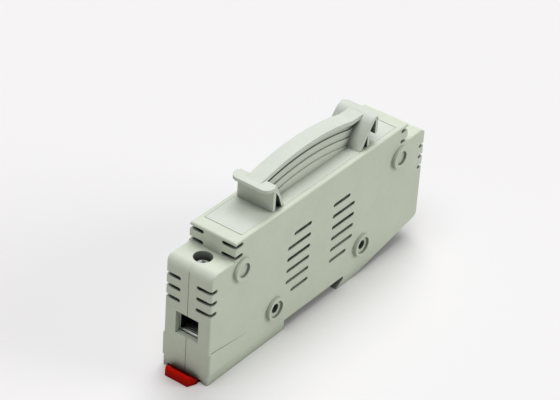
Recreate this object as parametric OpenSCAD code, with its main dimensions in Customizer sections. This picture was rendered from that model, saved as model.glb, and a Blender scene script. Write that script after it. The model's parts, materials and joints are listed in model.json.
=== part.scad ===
// Pull-out holder for one 10 x 85 mm cylindrical fuse link, one pole, on a 35 mm mounting rail.
// X runs along the holder, from the rail clip end (-X) to the fixed hook end (+X). Y runs across it, Z is up.
// The origin is the middle of the face that seats on the rail. All sizes are in mm.
// Features that both ends share are placed by their distance u from the middle of the body.

/* [Body] */
// Distance from each end of the fuse link to the end face of the housing
end_room = 20.5; // [20:0.1:21]
// Height of the main top face above the rail seat
top_z = 50.5; // [50:0.5:53]
// Height of the terminal tops at both ends above the rail seat
term_z = 43; // [42.5:0.25:43.5]
// Depth of the two feet below the rail seat
foot_h = 4; // [4:0.25:4.5]
// Length of the low terminal step at each end
step_l = 12.2; // [12:0.1:12.6]
// Distance from the middle of the rail slot to the middle of the body
mid_x = 1.4; // [1:0.1:2]
// Radius of the rounded outer end of each terminal top
term_r = 3.6; // [2:0.2:5]
// Radius along the long outer edges
edge_r = 0.8; // [0.4:0.1:1]
// Thickness of the side walls
side_t = 1.85; // [1.8:0.05:2]
// Thickness of the end walls
end_t = 2.4; // [2:0.1:2.6]
// How far the low side pads at the clip end stand out
pad_t = 0.6; // [0.4:0.1:0.8]

/* [Rail] */
// Width of the slot for the 35 mm rail
rail_w = 35.6; // [35.4:0.1:36]
// Depth of the straight rail pocket under the hook corner
rail_lip = 1.2; // [1.1:0.1:1.5]
// How far the fixed hook reaches under the rail
hook_reach = 3.8; // [3:0.1:4]
// End of the flat underside of the hook
hook_end = 22.7; // [22:0.1:24]
// Height at which the sloping underside meets the rear end face
slope_z = 3.9; // [3:0.1:5]
// Radius of the rear lower corner
rear_r = 4; // [2:0.5:5]

/* [Vents] */
// Height of every ventilation slot
slot_h = 1.5; // [1.3:0.1:1.6]
// Distance between the slots of a side column
vent_pitch = 4.9; // [4.7:0.1:5]
// Height of the middle of the side columns
vent_z = 24.2; // [24:0.1:24.6]
// Distance from the body's middle to the inner slot ends
vent_in = 6.5; // [6:0.1:7]
// Distance from the body's middle to the outer ends of the long slots
vent_long = 19.9; // [19:0.1:20]
// Distance from the body's middle to the outer ends of the short slots
vent_short = 16.6; // [16:0.1:17]
// Height of the lowest corner slot in the end faces
corner_z = 26.4; // [26:0.1:27]
// Distance between the corner slots of the end faces
corner_pitch = 4.7; // [4.6:0.1:4.8]
// Height of the lower slot of a step wall above the terminal top
riser_up = 1.1; // [1:0.05:1.2]
// Distance between the two slots of a step wall
riser_pitch = 4.5; // [4.4:0.1:4.6]

/* [Bosses] */
// Distance of the two high bosses from the end faces
boss_hi_in = 16.4; // [16:0.1:16.5]
// Height of the two high bosses
boss_hi_z = 37.8; // [37.6:0.1:38]
// Distance of the two low bosses from the body's middle
boss_lo_u = 26; // [25.5:0.5:26.5]
// Height of the two low bosses
boss_lo_z = 9.4; // [9:0.1:9.8]
// Outer radius of the boss rings
boss_r = 4.45; // [4.2:0.05:4.6]
// Height of the boss rings above the side face
boss_h = 1.4; // [1:0.1:1.6]
// Diameter of the bores that couple several poles
couple_d = 3.7; // [3.4:0.1:4]

/* [Terminals] */
// Distance of the terminal screws from the end faces
screw_in = 7.3; // [7:0.1:7.5]
// Diameter of the screwdriver bore in the terminal tops
driver_d = 7; // [6.8:0.1:7.2]
// Nominal thread diameter of the terminal screws
thread_d = 5; // [5:0.1:5.2]
// Diameter of the terminal screw heads
head_d = 6.4; // [6:0.1:6.4]
// Width of the wire opening
wire_w = 10; // [9:0.2:10]
// Height of the lower edge of the wire opening
wire_z = 12.2; // [12:0.1:12.4]
// Height of the underside of the busbars
bus_z = 21.6; // [21.5:0.05:21.8]
// Thickness of the busbars
bus_t = 1.6; // [1.5:0.1:1.7]
// Width of the busbars
bus_w = 8.4; // [8:0.1:8.6]
// Travel of the wire cages
cage_travel = 7.4; // [6:0.1:7.4]

/* [Fuse] */
// Length of the fuse link
fuse_l = 85; // [84.6:0.2:85.4]
// Diameter of the fuse link's end caps
cap_d = 10.3; // [10.1:0.1:10.4]
// Length of the end caps
cap_l = 12.5; // [12:0.5:13]
// Difference in diameter between the end caps and the tube
cap_step = 0.3; // [0.3:0.05:0.5]
// Wall of the end caps
cap_t = 0.8; // [0.6:0.1:1]
// Wall of the tube
tube_t = 1.8; // [1.6:0.1:2]
// Width of the melting strip
strip_w = 3.2; // [2.6:0.2:4]

/* [Carrier] */
// Overhang of the carrier's top plate past each end of the fuse link
plate_over = 2.7; // [2.5:0.1:2.8]
// Thickness of the carrier's top plate
plate_t = 2; // [1.8:0.1:2]
// Height to which the carrier is pulled out
carrier_travel = 46; // [40:1:60]

/* [Handle] */
// Height of the arched strap's highest point above the rail seat
arch_z = 64.6; // [64:0.2:66]
// Place of the highest point along the holder
arch_x = -1; // [-2:0.5:1]
// Radius of the arched strap's outer face
arch_r = 108; // [104:1:114]
// Thickness of the strap
strap_t = 1.7; // [1.5:0.1:2]
// Width of the strap
strap_w = 6.4; // [6:0.1:7]
// Height of the two finger plates
ear_z = 61.2; // [61:0.1:61.6]
// Thickness of the finger plates
ear_t = 1.3; // [1.2:0.1:1.5]
// Width of the finger plates
ear_w = 16.8; // [16:0.1:17]
// Corner radius of the finger plates
ear_r = 3; // [2:0.1:3.2]
// Width of the feet below the finger plates
foot_w = 15.7; // [15:0.1:15.8]
// Radius of the rear foot's sloping plate
hump_r = 41; // [30:1:60]
// Thickness of the rear foot's sloping plate
hump_t = 1.8; // [1.5:0.1:2]
// Radius of the bend between the rear foot's sloping plate and its finger plate
bend_r = 5; // [3:0.5:6]

/* [Latch] */
// Width of the red clip's body
clip_w = 15.2; // [14:0.1:15.3]
// How far the pull tab stands out of the end face
tab_l = 4.8; // [4.5:0.1:5]
// Height of the pull tab at its tip
tab_h = 3.4; // [3:0.1:3.5]
// Width of the pull tab at its tip
tab_w = 10; // [9:0.1:11]
// Width of the pull tab where it enters the end face
root_w = 12.6; // [12:0.2:13.4]
// Travel of the clip
clip_travel = 4; // [3:0.1:4]

/* [Hidden] */
$fn = 96;
fit = 0.05;
slide = 0.05;
gap = 0.1;
over = 1;
swing = 0.25;
cap_r = cap_d / 2;
tube_d = cap_d - cap_step;
spring_t = 0.6;
jaw_t = 1;
web_t = 1;
jaw_in = cap_r + fit;
jaw_out = jaw_in + jaw_t;
web_in = jaw_out + fit + spring_t + swing;
web_out = web_in + web_t;
in_w = web_out + slide;
half_w = in_w + side_t;
body_w = 2 * half_w;
half_l = fuse_l / 2 + end_room;
body_l = 2 * half_l;
x_front = mid_x - half_l;
x_rear = mid_x + half_l;
rail_h = rail_w / 2;
shell_t = 2;
roof_t = 1.4;
riser_t = 1.6;
riser_u = half_l - step_l;
plate_z = top_z - plate_t;
plate_u = fuse_l / 2 + plate_over;
screw_u = half_l - screw_in;
boss_hi_u = half_l - boss_hi_in;
plate_gap = 0.2;
plate_lap = 0.8;
well_u = plate_u - plate_lap;
well_t = 1.6;
rib_t = 1.6;
rib_in = 1;
bus_rib_u = [1.5, 9];
bus_rib_y = 2;
bus_rib_z = 10;
collar_t = 1.7;
collar_drop = 0.5;
seam_w = 0.08;
seam_d = 0.2;
pad_z = [0.5, 9.8, 7.3];
pad_l = 23;
corner_y = 3.45;
corner_back = 3.3;
riser_y = 4;
riser_back = 4.2;
boss_sink = 0.9;
ring_t = 1.65;
pin_room = 0.2;
clip_gap = 0.15;
clip_z = -foot_h + 1.3;
layer_z = -1.2;
groove_w = 0.8;
guide_in = 1.6;
floor_z = 0.9;
bay_z = 8.6;
bay_t = 1.8;
neck_z = 34.4;
neck_t = 1.5;
seat_z = neck_z + neck_t;
post_d = 6.8;
pin_d = 5.2;
pin_l = 3;
hi_post_d = 4.2;
hi_pin_d = 2.4;
bus_top = bus_z + bus_t;
spring_z = bus_top;
jaw_z = spring_z + spring_t;
fuse_z = jaw_z + jaw_t + 0.15 + cap_r;
jaw_u0 = fuse_l / 2 - 12;
jaw_u1 = fuse_l / 2 - 1;
bus_u0 = jaw_u0 + 0.5;
bus_u1 = half_l - 3.6;
tongue_u = half_l - 13.2;
rivet_u = tongue_u - 1.7;
rivet_d = 2.6;
rivet_head_d = 3.9;
rivet_head_t = 0.9;
cage_u0 = half_l - 12.6;
cage_clear = 0.3;
cage_u1 = half_l - end_t - cage_clear;
cage_in = wire_w / 2 - gap;
cage_t = 1.5;
cage_floor_t = 1.7;
cage_z = wire_z + 0.4 - cage_floor_t;
nut_z = bus_top + 0.4;
nut_t = 3;
frame_z = 24;
frame_u = well_u - plate_gap;
frame_end_t = 1.2;
cross_u = [10, 25.5];
cross_t = 2;
windows = [[2, 8.5], [13.5, 24]];
window_z0 = 28;
window_z1 = 41;
saddle_in = 0.4;
saddle_u = frame_u - 2 * over;
jaw_room = 2;
jaw_room_u = frame_u - frame_end_t - gap;
skirt_t = 1.1;
skirt_out = web_in - fit;
skirt_z = plate_z - 4.2;
skirt_l = 24;
snap_x = [-18, 14];
snap_l = 4;
snap_z = skirt_z + 0.8;
snap_t = 1;
snap_in = 0.3;
cap_fit = 0.06;
strip_t = 0.2;
strip_pitch = 9;
strip_row = 0.9;
strip_hole_d = 0.6;
tongue_w = bus_w - 0.6;
blade_lean = 0.6;
blade_lip = [1.6, 1.9];
spring_in = 2;
spring_up = 2.4;
head_z = seat_z + gap;
head_h = 4.2;
recess_w = 1;
recess_h = 1.2;
star_w = 1.2;
star_l = 3.8;
star_h = 2;
slope_a = atan((slope_z + foot_h) / (x_rear - hook_end));
rear_cx = x_rear - rear_r;
cross = 0.02;
rear_cz = (rear_r + sin(slope_a) * (rear_cx - hook_end)) / cos(slope_a) - foot_h - cross;
front_foot_x = mid_x - plate_u + 17.5;
front_ear_x = front_foot_x - 4.4;
rear_foot_x = mid_x + plate_u - 23;
rear_ear_x = rear_foot_x + 12.5;
foot_t = 1.4;
ear_lap = 0.3;
ear_soft = 0.6;
front_ramp = 6.4;
rear_post = 5.6;
hump_a = [rear_foot_x + 0.7, top_z];
hump_b = [rear_foot_x + 8.2, ear_z];
hump_chord = norm(hump_b - hump_a);
hump_rise = sqrt(hump_r * hump_r - hump_chord * hump_chord / 4);
hump_n = [hump_b[1] - hump_a[1], hump_a[0] - hump_b[0]] / hump_chord;
hump_c = (hump_a + hump_b) / 2 + hump_rise * hump_n;
bend_z = ear_z - bend_r;
bend_x = hump_c[0] - sqrt(pow(hump_r - bend_r, 2) - pow(bend_z - hump_c[1], 2));
bend_top = hump_c[1] + hump_r * (bend_z - hump_c[1]) / (hump_r - bend_r);
strap_x0 = arch_x - sqrt(arch_r * arch_r - pow(arch_r - arch_z + ear_z, 2));
strap_lap = 0.2;
strap_x1 = hump_b[0] + strap_lap;
band_w = 1.4;
band_step = 0.5;
band_h = 2.9;
lip_x = rear_ear_x - 1.1;
lip_z = 54;
clip_back = 2;
clip_neck = 4;
nose_out = 2.4;
tab_root = 1.5;
tab_flare = 1.6;
dish_y = 4;
arm_x0 = x_front + 13.6;
arm_x1 = -rail_h - 12.2;
arm_y = 5.4;
arm_gap = 1;

// Box from one corner to the opposite corner.
module box(a, b) {
    translate(a)
        cube(b - a);
}

// Extrudes a drawing of the side view (x, z) across the holder, from y0 to y1.
module slab(y0, y1) {
    translate([0, y1, 0])
        rotate([90, 0, 0])
            linear_extrude(y1 - y0)
                children();
}

// Places a feature of one end: side -1 is the clip end, side 1 is the hook end.
module at_end(side) {
    translate([mid_x, 0, 0])
        mirror([side < 0 ? 1 : 0, 0, 0])
            children();
}

module both_ends() {
    at_end(-1)
        children();
    at_end(1)
        children();
}

// Rounded rectangle in plan view.
module pad(x0, x1, y0, y1, r) {
    translate([x0 + r, y0])
        square([x1 - x0 - 2 * r, y1 - y0]);
    translate([x0, y0 + r])
        square([x1 - x0, y1 - y0 - 2 * r]);
    for (x = [x0 + r, x1 - r], y = [y0 + r, y1 - r])
        translate([x, y])
            circle(r);
}

// Cutter that rounds an edge running along X at y, z, on the +Y side of the body.
module round_x(x0, x1, y, z, r) {
    translate([x0, y - r, z - r])
        rotate([90, 0, 90])
            linear_extrude(x1 - x0)
                difference() {
                    square(r + over);
                    circle(r);
                }
}

// Cutter that rounds a vertical edge at the outer end of the body, on the +Y side.
module round_z(u, y, z0, z1, r) {
    translate([u - r, y - r, z0])
        linear_extrude(z1 - z0)
            difference() {
                square(r + over);
                circle(r);
            }
}

// Straight slot with rounded ends along X, cut through a side wall.
module vent(u0, u1, z) {
    r = slot_h / 2;
    slab(in_w - over, half_w + over) {
        translate([u0 + r, z - r])
            square([u1 - u0 - 2 * r, slot_h]);
        for (u = [u0 + r, u1 - r])
            translate([u, z])
                circle(r);
    }
}

// Side view of the closed housing.
module outline() {
    polygon([
        [x_front, -foot_h],
        [x_front, term_z - term_r],
        [x_front + term_r, term_z],
        [x_front + step_l, term_z],
        [x_front + step_l, top_z - edge_r],
        [x_front + step_l + edge_r, top_z],
        [x_rear - step_l - edge_r, top_z],
        [x_rear - step_l, top_z - edge_r],
        [x_rear - step_l, term_z],
        [x_rear - term_r, term_z],
        [x_rear, term_z - term_r],
        [x_rear, rear_cz],
        [rear_cx + rear_r * sin(slope_a), rear_cz + cross - rear_r * cos(slope_a)],
        [hook_end, -foot_h],
        [rail_h - hook_reach, -foot_h],
        [rail_h, -rail_lip],
        [rail_h, 0],
        [-rail_h, 0],
        [-rail_h, edge_r - foot_h],
        [-rail_h - edge_r, -foot_h],
    ]);
    for (x = [x_front + term_r, x_rear - term_r])
        translate([x, term_z - term_r])
            circle(term_r);
    for (x = [x_front + step_l + edge_r, x_rear - step_l - edge_r])
        translate([x, top_z - edge_r])
            circle(edge_r);
    translate([rear_cx, rear_cz])
        circle(rear_r);
}

// Side view of the hollow between the side walls.
module hollow() {
    x0 = x_front + end_t;
    x1 = x_rear - end_t;
    lift = shell_t / cos(slope_a);
    polygon([
        [x0, floor_z],
        [x0, term_z - shell_t],
        [mid_x - riser_u + riser_t, term_z - shell_t],
        [mid_x - riser_u + riser_t, top_z - roof_t],
        [mid_x + riser_u - riser_t, top_z - roof_t],
        [mid_x + riser_u - riser_t, term_z - shell_t],
        [x1, term_z - shell_t],
        [x1, rear_cz],
        [hook_end + shell_t, shell_t * tan(slope_a) + lift - foot_h],
        [rail_h + shell_t, shell_t - foot_h],
        [rail_h + shell_t, shell_t],
        [-rail_h - shell_t, shell_t],
        [-rail_h - shell_t, floor_z],
    ]);
}

// Walls and supports inside one end, on the +Y side.
module end_ribs() {
    u1 = half_l - end_t + fit;
    box([well_u, 0, bay_z], [u1, in_w, bay_z + bay_t]);
    box([well_u, 0, bay_z], [well_u + well_t, in_w, plate_z - fit]);
    box([well_u, 0, neck_z], [u1, in_w, seat_z]);
    for (u = [cage_u0 + rib_in, cage_u1 - rib_in - rib_t])
        box([u, cage_in + cage_t + gap, bay_z], [u + rib_t, in_w, neck_z]);
    for (u = bus_rib_u)
        box([bus_u0 + u, bus_rib_y, bus_rib_z], [bus_u0 + u + rib_t, in_w, bus_z]);
    translate([screw_u, 0, neck_z])
        intersection() {
            cylinder(d = driver_d + 2 * collar_t, h = term_z - neck_z - collar_drop);
            box([-half_w, 0, 0], [half_l - end_t - screw_u + fit, half_w, half_l]);
        }
    translate([boss_hi_u, 0, boss_hi_z])
        rotate([-90, 0, 0])
            cylinder(d = hi_post_d, h = in_w);
    translate([boss_lo_u, 0, boss_lo_z])
        rotate([-90, 0, 0])
            cylinder(d = post_d, h = in_w);
    for (p = [[boss_hi_u, boss_hi_z], [boss_lo_u, boss_lo_z]])
        translate([p[0], half_w - fit, p[1]])
            rotate([-90, 0, 0])
                cylinder(r = boss_r, h = boss_h + fit);
}

// Slot through an end wall at u that turns the corner into the side wall, both ends rounded.
module corner_slot(u, wall, y, back, z) {
    r = slot_h / 2;
    box([u - wall - fit, y + r, z - r], [u + over, half_w + over, z + r]);
    box([u - back + r, in_w - fit, z - r], [u + over, half_w + over, z + r]);
    translate([u - wall - fit, y + r, z])
        rotate([0, 90, 0])
            cylinder(r = r, h = wall + fit + over);
    translate([u - back + r, in_w - fit, z])
        rotate([-90, 0, 0])
            cylinder(r = r, h = side_t + fit + over);
}

// Openings of one end, on the +Y side.
module end_cuts() {
    box([half_l - end_t - over, -over, wire_z], [half_l + over, wire_w / 2, bus_z]);
    box([well_u - over, -over, bus_z], [well_u + well_t + over, bus_w / 2 + gap, jaw_z + jaw_t + gap]);
    translate([screw_u, 0, seat_z])
        cylinder(d = driver_d, h = term_z);
    translate([screw_u, 0, neck_z - over])
        cylinder(d = thread_d + 0.16, h = seat_z);
    for (i = [0 : 2])
        corner_slot(half_l, end_t, corner_y, corner_back, corner_z + i * corner_pitch);
    for (i = [0 : 1])
        corner_slot(riser_u, riser_t, riser_y, riser_back, term_z + riser_up + i * riser_pitch);
    for (i = [0 : 5]) {
        z = vent_z + (i - 2.5) * vent_pitch;
        vent(vent_in, i == 0 || i == 5 ? vent_short : vent_long, z);
    }
    translate([boss_lo_u, -half_w, boss_lo_z])
        rotate([-90, 0, 0])
            cylinder(d = couple_d, h = 2 * body_w);
    translate([boss_lo_u, half_w + boss_h - boss_sink, boss_lo_z])
        rotate([-90, 0, 0])
            cylinder(d = post_d, h = boss_h);
    translate([boss_hi_u, half_w + boss_h - boss_sink, boss_hi_z])
        rotate([-90, 0, 0])
            cylinder(r = boss_r - ring_t, h = boss_h);
    round_x(0, riser_u + over, half_w, top_z, edge_r);
    round_x(riser_u + fit, half_l + over, half_w, term_z, edge_r);
    round_z(half_l, half_w, -foot_h - over, term_z + over, edge_r);
    box([half_l - seam_d, -over, -foot_h - over], [half_l + over, seam_w, term_z + over]);
}

// Low pad on the side wall at the clip end, rounded at the end face and thinning out along the holder.
module side_pad() {
    y = half_w + pad_t - edge_r;
    intersection() {
        slab(in_w, half_w + pad_t)
            polygon([
                [x_front, pad_z[0]],
                [x_front, pad_z[1]],
                [x_front + pad_l, pad_z[2]],
                [x_front + pad_l, pad_z[0]],
            ]);
        linear_extrude(term_z) {
            translate([x_front, in_w])
                square([edge_r + fit, y - in_w]);
            translate([x_front + edge_r, y])
                circle(edge_r);
            polygon([
                [x_front + edge_r, in_w],
                [x_front + edge_r, half_w + pad_t],
                [x_front + pad_l + over, half_w - fit],
                [x_front + pad_l + over, in_w],
            ]);
        }
    }
}

// Channel for the rail clip in the clip end's foot.
module clip_channel() {
    z_low = -foot_h - over;
    box([x_front - over, -over, z_low], [-rail_h + over, clip_w / 2 + clip_gap, clip_z + gap]);
    box([x_front + end_t, -over, z_low], [-rail_h + over, clip_w / 2 + clip_gap, layer_z + gap]);
    box([x_front + end_t, -over, clip_z - gap], [-rail_h - guide_in, in_w + groove_w, layer_z + gap]);
}

// One half of the housing, on the +Y side, without its alignment pins.
module half_shell() {
    difference() {
        union() {
            difference() {
                slab(0, half_w)
                    outline();
                slab(-over, in_w)
                    hollow();
            }
            both_ends()
                end_ribs();
            box([x_front + fit, 0, layer_z], [-rail_h - fit, in_w, floor_z + fit]);
        }
        both_ends()
            end_cuts();
        translate([mid_x, 0, 0])
            box([-plate_u - plate_gap, -over, plate_z - fit], [plate_u + plate_gap, in_w, top_z + over]);
        clip_channel();
    }
    side_pad();
}

// Half on the +Y side: its posts end in pins.
module housing_far() {
    color("gainsboro") {
        difference() {
            union() {
                half_shell();
                both_ends() {
                    translate([boss_lo_u, -pin_l, boss_lo_z])
                        rotate([-90, 0, 0])
                            cylinder(d = pin_d, h = pin_l + over);
                    translate([boss_hi_u, -pin_l, boss_hi_z])
                        rotate([-90, 0, 0])
                            cylinder(d = hi_pin_d, h = pin_l + over);
                }
            }
            both_ends()
                translate([boss_lo_u, -half_w, boss_lo_z])
                    rotate([-90, 0, 0])
                        cylinder(d = couple_d, h = 2 * body_w);
        }
    }
}

// Half on the -Y side: its posts take the pins.
module housing_near() {
    color("gainsboro")
        mirror([0, 1, 0])
            difference() {
                half_shell();
                both_ends() {
                    translate([boss_lo_u, -over, boss_lo_z])
                        rotate([-90, 0, 0])
                            cylinder(d = pin_d + 2 * fit, h = pin_l + over + pin_room);
                    translate([boss_hi_u, -over, boss_hi_z])
                        rotate([-90, 0, 0])
                            cylinder(d = hi_pin_d + 2 * fit, h = pin_l + over + pin_room);
                }
            }
}

// Side view of the space below the strap's outer face, lowered by d: an arch that runs out level at the rear.
module below_strap(d) {
    intersection() {
        translate([arch_x, arch_z - arch_r])
            circle(arch_r - d, $fn = 720);
        translate([strap_x0, top_z])
            square([strap_x1 - strap_x0, arch_r]);
    }
    translate([arch_x, top_z])
        square([strap_x1 - arch_x, ear_z - d - top_z]);
}

// Side view of the front foot: upright plate, sloping plate and finger plate.
module front_foot_side() {
    translate([front_foot_x, 0])
        polygon([
            [0, top_z],
            [0, ear_z - ear_t],
            [front_ear_x - front_foot_x, ear_z - ear_t],
            [front_ear_x - front_foot_x, ear_z],
            [1.2, ear_z],
            [2.6, ear_z - 2.6],
            [front_ramp, top_z],
            [front_ramp - foot_t, top_z],
            [3.2, ear_z - 5.8],
            [foot_t, ear_z - 3.2],
            [foot_t, top_z],
        ]);
}

// Side view of the rear foot: arched sloping plate bent into the finger plate, upright plate and turned-down lip.
module rear_foot_side() {
    difference() {
        union() {
            intersection() {
                translate(hump_c)
                    difference() {
                        circle(hump_r, $fn = 360);
                        circle(hump_r - hump_t, $fn = 360);
                    }
                translate([rear_foot_x, top_z])
                    square([rear_ear_x - rear_foot_x - ear_t, ear_z - top_z]);
            }
            translate([hump_b[0], ear_z - ear_t])
                square([lip_x - hump_b[0], ear_t]);
        }
        difference() {
            translate([rear_foot_x - over, bend_top])
                square([bend_x - rear_foot_x + over, bend_r]);
            translate([bend_x, bend_z])
                circle(bend_r);
        }
    }
    intersection() {
        translate(hump_c)
            circle(hump_r - hump_t / 2, $fn = 360);
        translate([rear_foot_x + rear_post, top_z])
            square([foot_t, ear_z - top_z]);
    }
    translate([lip_x - ear_t, lip_z])
        square([ear_t, ear_z - lip_z - ear_t / 2]);
}

// Web below the strap, stepped outward in concentric bands.
module handle_web() {
    for (i = [0 : 3]) {
        w = band_w + i * band_step;
        slab(-w, w)
            intersection() {
                below_strap(strap_t - strap_lap + i * band_h);
                polygon([
                    [front_foot_x + 0.6, top_z],
                    [front_foot_x + 0.6, ear_z - 0.5],
                    [front_foot_x + 3, arch_z],
                    [rear_foot_x + rear_post, arch_z],
                    [rear_foot_x + rear_post + 0.9, ear_z - 0.5],
                    [rear_foot_x + rear_post + 0.9, top_z],
                ]);
            }
    }
}

// Arched strap with a level rear end.
module handle_strap() {
    slab(-strap_w / 2, strap_w / 2)
        difference() {
            below_strap(0);
            below_strap(strap_t);
            translate([strap_x0 - over, top_z - over])
                square([front_foot_x - strap_x0 + over, ear_z - ear_t - top_z + over]);
        }
}

// Plan view of both finger plates.
module ear_plan() {
    intersection() {
        pad(front_ear_x, front_foot_x + ear_w, -ear_w / 2, ear_w / 2, ear_r);
        translate([front_ear_x, -half_w])
            square([front_foot_x - front_ear_x + ear_lap, body_w]);
    }
    intersection() {
        pad(rear_foot_x - ear_w, rear_ear_x, -ear_w / 2, ear_w / 2, ear_r);
        pad(bend_x, rear_ear_x + ear_w, -ear_w / 2, ear_w / 2, ear_soft);
    }
}

// Carrier's top plate with the handle, snap skirt below it.
module carrier_cap() {
    color("gainsboro") {
        box([mid_x - plate_u, -web_out, plate_z], [mid_x + plate_u, web_out, top_z]);
        handle_strap();
        handle_web();
        slab(-foot_w / 2, foot_w / 2) {
            intersection() {
                front_foot_side();
                translate([front_foot_x, top_z - fit])
                    square([10, ear_z]);
            }
            intersection() {
                rear_foot_side();
                translate([0, top_z - fit])
                    square([rear_ear_x, ear_z]);
            }
        }
        translate([0, 0, ear_z - ear_t])
            linear_extrude(ear_t)
                ear_plan();
        for (s = [-1, 1])
            mirror([0, s < 0 ? 1 : 0, 0]) {
                translate([mid_x, 0, 0])
                    box([-skirt_l, skirt_out - skirt_t, skirt_z], [skirt_l, skirt_out, plate_z + fit]);
                for (u = snap_x)
                    translate([mid_x + u, 0, snap_z])
                        box([0, skirt_out - fit, 0], [snap_l, web_out - snap_in, snap_t]);
            }
    }
}

// Carrier's lower frame: side webs with windows, end walls and saddles that grip the fuse tube.
module carrier_frame() {
    z1 = plate_z - fit;
    color("silver")
        difference() {
            union() {
                for (s = [-1, 1])
                    mirror([0, s < 0 ? 1 : 0, 0])
                        box([mid_x - frame_u, web_in, frame_z], [mid_x + frame_u, web_out, z1]);
                both_ends() {
                    box([frame_u - frame_end_t, -web_in - fit, fuse_z], [frame_u, web_in + fit, z1]);
                    for (u = cross_u)
                        box([u, -web_in - fit, frame_z], [u + cross_t, web_in + fit, skirt_z - gap]);
                }
            }
            both_ends()
                for (w = windows)
                    box([w[0], -half_w, window_z0], [w[1], half_w, window_z1]);
            for (u = snap_x)
                translate([mid_x + u, 0, snap_z])
                    box([-gap, -half_w, -gap], [snap_l + gap, half_w, snap_t + gap]);
            translate([mid_x - saddle_u, 0, fuse_z])
                rotate([0, 90, 0])
                    cylinder(d = tube_d + 2 * fit, h = 2 * saddle_u);
            translate([mid_x, 0, 0])
                box([-saddle_u, saddle_in - tube_d / 2, 0], [saddle_u, tube_d / 2 - saddle_in, fuse_z]);
            both_ends()
                box([jaw_u0 - over, -web_in - fit, 0], [jaw_room_u, web_in + fit, fuse_z + cap_r + jaw_room]);
        }
}

module fuse_tube() {
    l = fuse_l - 2 * cap_t;
    color("white")
        translate([mid_x - l / 2 + fit, 0, fuse_z])
            rotate([0, 90, 0])
                difference() {
                    cylinder(d = tube_d, h = l - 2 * fit);
                    translate([0, 0, -over])
                        cylinder(d = tube_d - 2 * tube_t, h = l + 2 * over);
                }
}

// End cap of the fuse link, cupped over the tube.
module fuse_cap() {
    color("silver")
        translate([fuse_l / 2 - cap_l, 0, fuse_z])
            rotate([0, 90, 0])
                difference() {
                    cylinder(d = cap_d, h = cap_l);
                    translate([0, 0, -over])
                        cylinder(d = tube_d + 2 * cap_fit, h = cap_l - cap_t + over);
                }
}

module fuse_cap_front() {
    at_end(-1)
        fuse_cap();
}

module fuse_cap_rear() {
    at_end(1)
        fuse_cap();
}

// Melting strip between the two caps, with its rows of holes.
module fuse_element() {
    l = fuse_l - 2 * cap_t;
    color("silver")
        difference() {
            translate([mid_x, 0, fuse_z])
                box([-l / 2, -strip_w / 2, -strip_t / 2], [l / 2, strip_w / 2, strip_t / 2]);
            for (i = [-3 : 3], y = [-strip_row, 0, strip_row])
                translate([mid_x + i * strip_pitch, y, fuse_z - over])
                    cylinder(d = strip_hole_d, h = 2 * over, $fn = 24);
        }
}

// Copper contact: tongue, base and two upright blades with flared lips.
module contact() {
    color("goldenrod") {
        box([jaw_u0, -jaw_out, jaw_z], [jaw_u1, jaw_out, jaw_z + jaw_t]);
        difference() {
            box([jaw_u1 - fit, -tongue_w / 2, jaw_z], [tongue_u, tongue_w / 2, jaw_z + jaw_t]);
            translate([rivet_u, 0, 0])
                cylinder(d = rivet_d + 2 * fit, h = half_l);
        }
        for (s = [-1, 1])
            mirror([0, s < 0 ? 1 : 0, 0]) {
                box([jaw_u0, jaw_in, jaw_z], [jaw_u1, jaw_out, fuse_z + cap_r]);
                translate([jaw_u0, 0, fuse_z + cap_r])
                    rotate([90, 0, 90])
                        linear_extrude(jaw_u1 - jaw_u0)
                            polygon([
                                [jaw_in, 0],
                                [jaw_out, 0],
                                [jaw_out + blade_lean, blade_lip[0]],
                                [jaw_in + blade_lean + 0.2, blade_lip[1]],
                            ]);
            }
    }
}

module contact_front() {
    at_end(-1)
        contact();
}

module contact_rear() {
    at_end(1)
        contact();
}

// Steel clip that presses the contact's blades together.
module jaw_spring() {
    y0 = jaw_out + fit;
    y1 = y0 + spring_t;
    u0 = jaw_u0 + spring_in;
    u1 = jaw_u1 - spring_in;
    color("slategray") {
        box([u0, -y1, spring_z], [u1, y1, spring_z + spring_t]);
        difference() {
            box([u1 - fit, -tongue_w / 2, spring_z], [tongue_u, tongue_w / 2, spring_z + spring_t]);
            translate([rivet_u, 0, 0])
                cylinder(d = rivet_d + 2 * fit, h = half_l);
        }
        for (s = [-1, 1])
            mirror([0, s < 0 ? 1 : 0, 0])
                box([u0, y0, spring_z], [u1, y1, fuse_z + spring_up]);
    }
}

module jaw_spring_front() {
    at_end(-1)
        jaw_spring();
}

module jaw_spring_rear() {
    at_end(1)
        jaw_spring();
}

// Busbar from the wire cage to the contact.
module busbar() {
    color("goldenrod")
        difference() {
            translate([0, 0, bus_z])
                linear_extrude(bus_t)
                    pad(bus_u0, bus_u1, -bus_w / 2, bus_w / 2, 1);
            translate([rivet_u, 0, 0])
                cylinder(d = rivet_d + 2 * fit, h = half_l);
        }
}

module busbar_front() {
    at_end(-1)
        busbar();
}

module busbar_rear() {
    at_end(1)
        busbar();
}

// One rivet through busbar, spring and contact at each end.
module contact_rivets() {
    top = jaw_z + jaw_t;
    color("silver")
        both_ends()
            translate([rivet_u, 0, 0]) {
                translate([0, 0, bus_z - rivet_head_t])
                    cylinder(d = rivet_head_d, h = rivet_head_t);
                translate([0, 0, bus_z - fit])
                    cylinder(d = rivet_d, h = top - bus_z + 2 * fit);
                translate([0, 0, top])
                    cylinder(d = rivet_head_d, h = rivet_head_t);
            }
}

// Wire cage: floor, two sides and a threaded top that climbs the screw.
module cage() {
    color("silver")
        difference() {
            box([cage_u0, -cage_in - cage_t, cage_z], [cage_u1, cage_in + cage_t, nut_z + nut_t]);
            box([cage_u0 - over, -cage_in, cage_z + cage_floor_t], [cage_u1 + over, cage_in, nut_z]);
            translate([screw_u, 0, nut_z - over])
                cylinder(d = thread_d + 2 * fit, h = nut_t + 2 * over);
        }
}

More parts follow.
